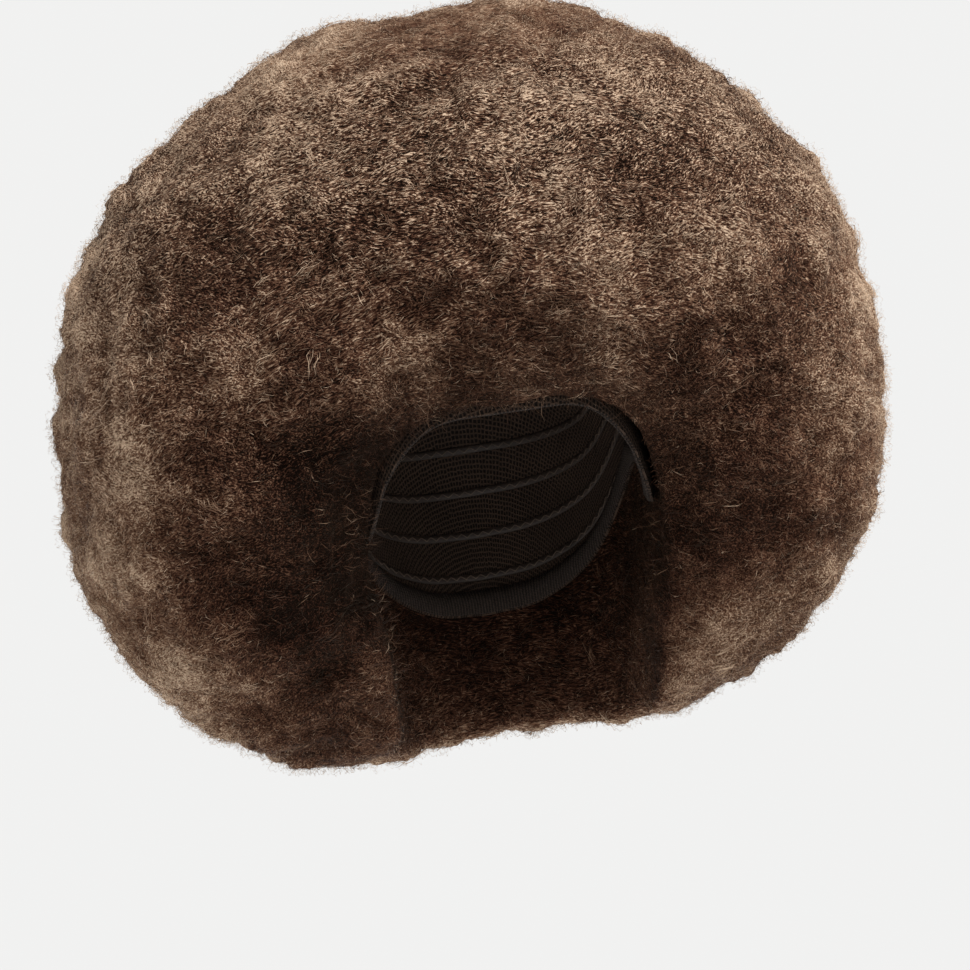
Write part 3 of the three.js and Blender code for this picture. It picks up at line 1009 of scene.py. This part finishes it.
def make_stitches(settings):
    """A zigzag of thread along the inside of the band."""
    cap_tree = tree_of_node("stretch_cap")
    tree = tree_of_node("edge_band")
    low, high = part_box("edge_band")
    around = math.pi * ((high.x - low.x) + (high.y - low.y)) / 2
    count = 2 * round(around / settings.stitch_pitch)
    radius = settings.stitch_thickness / 2
    points = []
    for index in range(count):
        turn = 2 * math.pi * index / count
        top, bottom = band_angles(tree, turn, rim_angle(cap_tree, turn))
        polar = top + (bottom - top) * (0.75 if index % 2 else 0.25)
        middle = inner_wall(tree, turn, polar, 0.0)
        inward = radius * (HEAD_MIDDLE - middle).normalized()
        upward = Vector((0, 0, radius))
        for part in range(4):
            angle = math.pi / 2 * part + math.pi / 4
            points.append(middle + inward * (math.cos(angle) + 0.6) + upward * math.sin(angle))
    material = thread_material("band_stitches", tuple(settings.thread_colour))
    piece = join_bars("band_stitches", [(points, ring_faces(count, 4))], material)
    finish_piece(piece, "elastic")


# Stage


def make_floor(settings):
    """A plain pale floor that reaches as far as the eye sees."""
    level = CAD_LOW.z - settings.floor_depth
    bpy.ops.object.select_all(action="DESELECT")
    bpy.ops.mesh.primitive_circle_add(
        vertices=96, radius=settings.floor_radius, fill_type="NGON", location=(0, 0, level)
    )
    floor = bpy.context.object
    floor.name = "stage_floor"
    bpy.ops.object.transform_apply(location=True, rotation=True, scale=True)
    nodes = Nodes("stage_floor")
    paint = (*settings.floor_colour, 1)
    floor.data.materials.append(nodes.finish(Base_Color=paint, Roughness=1.0, Specular_IOR_Level=0.0))


def make_sky(settings):
    """Even light all round. What shows past the floor is as pale as the floor, so no line parts them."""
    world = bpy.data.worlds.new("studio")
    world.use_nodes = True
    tree = world.node_tree
    light = tree.nodes["Background"]
    light.inputs["Color"].default_value = (1.0, 1.0, 1.0, 1)
    light.inputs["Strength"].default_value = settings.room_strength
    shown = tree.nodes.new("ShaderNodeBackground")
    shown.inputs["Color"].default_value = (*settings.floor_colour, 1)
    steepness = -KEY_DIRECTION.normalized().z
    from_key = settings.key_strength * steepness / math.pi
    shown.inputs["Strength"].default_value = settings.room_strength + from_key
    rays = tree.nodes.new("ShaderNodeLightPath")
    mix = tree.nodes.new("ShaderNodeMixShader")
    tree.links.new(rays.outputs["Is Camera Ray"], mix.inputs[0])
    tree.links.new(light.outputs[0], mix.inputs[1])
    tree.links.new(shown.outputs[0], mix.inputs[2])
    tree.links.new(mix.outputs[0], tree.nodes["World Output"].inputs["Surface"])
    bpy.context.scene.world = world


def make_stage(settings):
    """A pale floor, even light all round, a soft main light and the camera."""
    scene = bpy.context.scene
    scene.view_settings.view_transform = "Standard"
    make_floor(settings)
    make_sky(settings)

    data = bpy.data.lights.new("key", "SUN")
    data.angle = math.radians(24)
    data.energy = settings.key_strength
    key = bpy.data.objects.new("key", data)
    scene.collection.objects.link(key)
    key.rotation_euler = KEY_DIRECTION.to_track_quat("-Z", "Y").to_euler()

    back = Vector(
        (
            math.sin(settings.azimuth) * math.cos(settings.elevation),
            -math.cos(settings.azimuth) * math.cos(settings.elevation),
            math.sin(settings.elevation),
        )
    )
    right = Vector((math.cos(settings.azimuth), math.sin(settings.azimuth), 0))
    aim = Vector((0, 0, settings.aim_height)) + right * settings.aim_side
    data = bpy.data.cameras.new("camera")
    data.lens = settings.lens
    data.sensor_width = 36
    data.clip_end = 100
    camera = bpy.data.objects.new("camera", data)
    scene.collection.objects.link(camera)
    camera.location = aim + back * settings.distance
    camera.rotation_mode = "QUATERNION"
    camera.rotation_quaternion = (-back).to_track_quat("-Z", "Y") @ Quaternion((0, 0, 1), -settings.roll)
    scene.camera = camera


# Operators


class WIG_OT_mass(Operator):
    """Build the mass of hair with its tufts, waves and curls"""

    bl_idname = "wig.mass"
    bl_label = "Hair Mass"

    def execute(self, context):
        make_mass(context.scene.wig_mass, context.scene.wig_fibres)
        return {"FINISHED"}


class WIG_OT_frizz(Operator):
    """Lay two layers of short frizz on the mass"""

    bl_idname = "wig.frizz"
    bl_label = "Frizz"

    def execute(self, context):
        settings = context.scene.wig_fibres
        surface = Surface()
        # The upper layer gets more painted light than the lower, which lies in its shade.
        under = {"lift": 1.0 * MM, "painted_light": 0.04, "scale": 1.1, "specular": 0.15}
        over = {"lift": 2.0 * MM, "painted_light": 0.14, "scale": 0.9, "specular": 0.45}
        make_frizz("hair_frizz_under", 11, settings.under_count, settings, surface, **under)
        make_frizz("hair_frizz_over", 23, settings.over_count, settings, surface, **over)
        return {"FINISHED"}


class WIG_OT_curls(Operator):
    """Lay crimped curls over the frizz"""

    bl_idname = "wig.curls"
    bl_label = "Crimped Curls"

    def execute(self, context):
        make_curls(context.scene.wig_fibres, Surface())
        return {"FINISHED"}


class WIG_OT_fuzz(Operator):
    """Stand fine fuzz on the whole outline"""

    bl_idname = "wig.fuzz"
    bl_label = "Fuzz"

    def execute(self, context):
        settings = context.scene.wig_fibres
        surface = Surface()
        make_fuzz(settings, surface)
        make_haze(settings, surface)
        return {"FINISHED"}


class WIG_OT_wisps(Operator):
    """Draw thin wisps along the hairline"""

    bl_idname = "wig.wisps"
    bl_label = "Hairline Wisps"

    def execute(self, context):
        make_wisps(context.scene.wig_fibres, Surface())
        return {"FINISHED"}


class WIG_OT_cap(Operator):
    """Build the net cap and the sewn rows inside it"""

    bl_idname = "wig.cap"
    bl_label = "Net Cap"

    def execute(self, context):
        make_cap(context.scene.wig_cap)
        make_rows(context.scene.wig_cap)
        return {"FINISHED"}


class WIG_OT_band(Operator):
    """Build the elastic band and its zigzag stitches"""

    bl_idname = "wig.band"
    bl_label = "Edge Band"

    def execute(self, context):
        make_band(context.scene.wig_cap)
        make_stitches(context.scene.wig_cap)
        return {"FINISHED"}


class WIG_OT_stage(Operator):
    """Set the floor, the lights and the camera"""

    bl_idname = "wig.stage"
    bl_label = "Stage"

    def execute(self, context):
        make_stage(context.scene.wig_stage)
        return {"FINISHED"}


OPERATORS = (
    WIG_OT_stage,
    WIG_OT_mass,
    WIG_OT_frizz,
    WIG_OT_curls,
    WIG_OT_fuzz,
    WIG_OT_wisps,
    WIG_OT_cap,
    WIG_OT_band,
)


class WIG_PT_panel(Panel):
    """Lists the wig's pieces in the order in which they are made"""

    bl_label = "Afro Wig"
    bl_space_type = "VIEW_3D"
    bl_region_type = "UI"
    bl_category = "Wig"

    def draw(self, context):
        for operator in OPERATORS:
            self.layout.operator(operator.bl_idname)


SETTINGS = {
    "wig_mass": WigMassSettings,
    "wig_fibres": WigFibreSettings,
    "wig_cap": WigCapSettings,
    "wig_stage": WigStageSettings,
}


def register():
    for kind in (*SETTINGS.values(), *OPERATORS, WIG_PT_panel):
        bpy.utils.register_class(kind)
    for name, kind in SETTINGS.items():
        setattr(bpy.types.Scene, name, PointerProperty(type=kind))


def unregister():
    for name in SETTINGS:
        delattr(bpy.types.Scene, name)
    for kind in reversed((*SETTINGS.values(), *OPERATORS, WIG_PT_panel)):
        bpy.utils.unregister_class(kind)


def main():
    register()
    bpy.ops.wig.stage()
    bpy.ops.wig.mass()
    bpy.ops.wig.frizz()
    bpy.ops.wig.curls()
    bpy.ops.wig.fuzz()
    bpy.ops.wig.wisps()
    bpy.ops.wig.cap()
    bpy.ops.wig.band()


if __name__ == "__main__":
    main()
